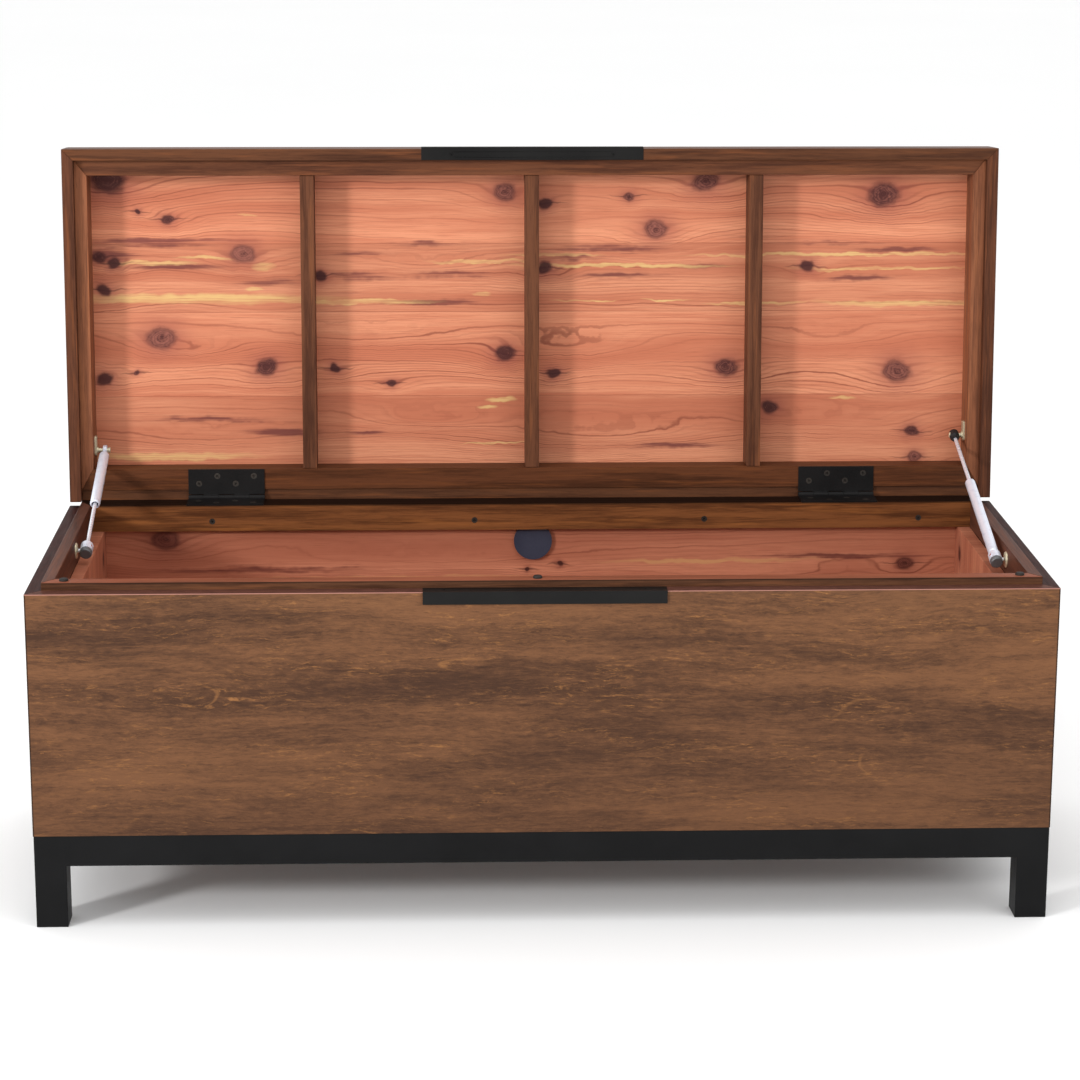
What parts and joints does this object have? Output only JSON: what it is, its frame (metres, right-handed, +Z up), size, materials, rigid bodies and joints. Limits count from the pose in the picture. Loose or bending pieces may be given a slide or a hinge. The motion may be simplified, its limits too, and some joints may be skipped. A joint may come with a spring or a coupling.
{
  "type": "wooden chest",
  "caption": "Long cedar-lined storage chest on a square-tube metal base, its shallow boxed lid hinged open at the back on two telescopic stays.",
  "frame": {"origin": "centre of the case's footprint, on the floor", "axes": "+X along the case to the right as seen from the front, +Y from the front to the back, +Z up"},
  "size_m": [1.22, 0.5554, 0.8823],
  "materials": {
    "base_metal": "satin black powder coat",
    "cap_plastic": "matte black",
    "walnut": "satin brown stained veneer, grain along the board",
    "rim_wood": "satin reddish brown stain",
    "strip_wood": "satin reddish brown stain",
    "ply": "plain sheet",
    "cedar": "unfinished aromatic cedar with knots",
    "lid_cedar": "lacquered aromatic cedar with knots and pale streaks",
    "disc_plastic": "smooth dark grey",
    "bumper_rubber": "dark soft pads",
    "pull_metal": "satin black",
    "hinge_metal": "satin black",
    "zinc": "yellow passivated zinc plate",
    "stay_cylinder": "bright silver",
    "stay_rod": "polished",
    "stay_fitting": "grey die casting",
    "head_plastic": "black"
  },
  "bodies": {
    "case": {"leg_front_left": "base_metal", "leg_front_right": "base_metal", "leg_rear_left": "base_metal", "leg_rear_right": "base_metal", "base_rail_front": "base_metal", "base_rail_rear": "base_metal", "base_rail_left": "base_metal", "base_rail_right": "base_metal", "foot_caps": "cap_plastic", "front_panel": "walnut", "rear_panel": "walnut", "left_panel": "walnut", "right_panel": "walnut", "bottom_panel": "ply", "rim_rail_front": "rim_wood", "rim_rail_rear": "rim_wood", "rim_rail_left": "rim_wood", "rim_rail_right": "rim_wood", "rim_screws": "pull_metal", "lining_battens": "ply", "cedar_lining_front": "cedar", "cedar_lining_rear": "cedar", "cedar_lining_left": "cedar", "cedar_lining_right": "cedar", "cedar_floor": "cedar", "lining_disc": "disc_plastic", "case_pull": "pull_metal", "case_pull_screws": "pull_metal", "rim_bumpers": "bumper_rubber", "hinge_case_leaf_left": "hinge_metal", "hinge_case_leaf_right": "hinge_metal", "hinge_pins": "hinge_metal", "hinge_case_screws": "hinge_metal", "stay_case_brackets": "zinc"},
    "lid": {"lid_top_panel": "walnut", "lid_board_front": "rim_wood", "lid_board_rear": "rim_wood", "lid_board_left": "rim_wood", "lid_board_right": "rim_wood", "lid_strip_front": "strip_wood", "lid_strip_rear": "strip_wood", "lid_strip_left": "strip_wood", "lid_strip_right": "strip_wood", "lid_divider_left": "strip_wood", "lid_divider_centre": "strip_wood", "lid_divider_right": "strip_wood", "lid_cedar_panel": "lid_cedar", "lid_pull": "pull_metal", "lid_pull_screws": "pull_metal", "hinge_lid_leaf_left": "hinge_metal", "hinge_lid_leaf_right": "hinge_metal", "hinge_lid_screws": "hinge_metal", "stay_lid_brackets": "zinc"},
    "stay_left_upper": {"stay_left_cylinder": "stay_cylinder"},
    "stay_left_lower": {"stay_left_rod": "stay_rod", "stay_left_foot": "stay_fitting"},
    "stay_right_upper": {"stay_right_rod": "stay_rod", "stay_right_head": "head_plastic"},
    "stay_right_lower": {"stay_right_cylinder": "stay_cylinder", "stay_right_foot": "stay_fitting"}
  },
  "joints": [
    {"name": "lid_hinge", "type": "hinge", "parent": "case", "child": "lid", "pos_m": [0, 0.226, 0.4242], "axis": [1, 0, 0], "range_deg": [0, 94]},
    {"name": "stay_left_swing", "type": "hinge", "parent": "lid", "child": "stay_left_upper", "pos_m": [-0.564, 0.25682, 0.48219], "axis": [1, 0, 0], "range_deg": [-95.2, 0]},
    {"name": "stay_left_slide", "type": "slide", "parent": "stay_left_upper", "child": "stay_left_lower", "axis": [0, 0.9555, 0.295], "range_m": [0, 0.09608]},
    {"name": "stay_right_swing", "type": "hinge", "parent": "lid", "child": "stay_right_upper", "pos_m": [0.564, 0.25787, 0.49716], "axis": [1, 0, 0], "range_deg": [-98.12, 0]},
    {"name": "stay_right_slide", "type": "slide", "parent": "stay_right_upper", "child": "stay_right_lower", "axis": [0, 0.9622, 0.2725], "range_m": [0, 0.11499]}
  ],
  "couplings": [
    {"joint": "stay_left_swing", "follows": "lid_hinge", "ratio": -1.0117},
    {"joint": "stay_left_slide", "follows": "lid_hinge", "m_per_rad": 0.058502},
    {"joint": "stay_right_swing", "follows": "lid_hinge", "ratio": -1.0427},
    {"joint": "stay_right_slide", "follows": "lid_hinge", "m_per_rad": 0.070027}
  ]
}
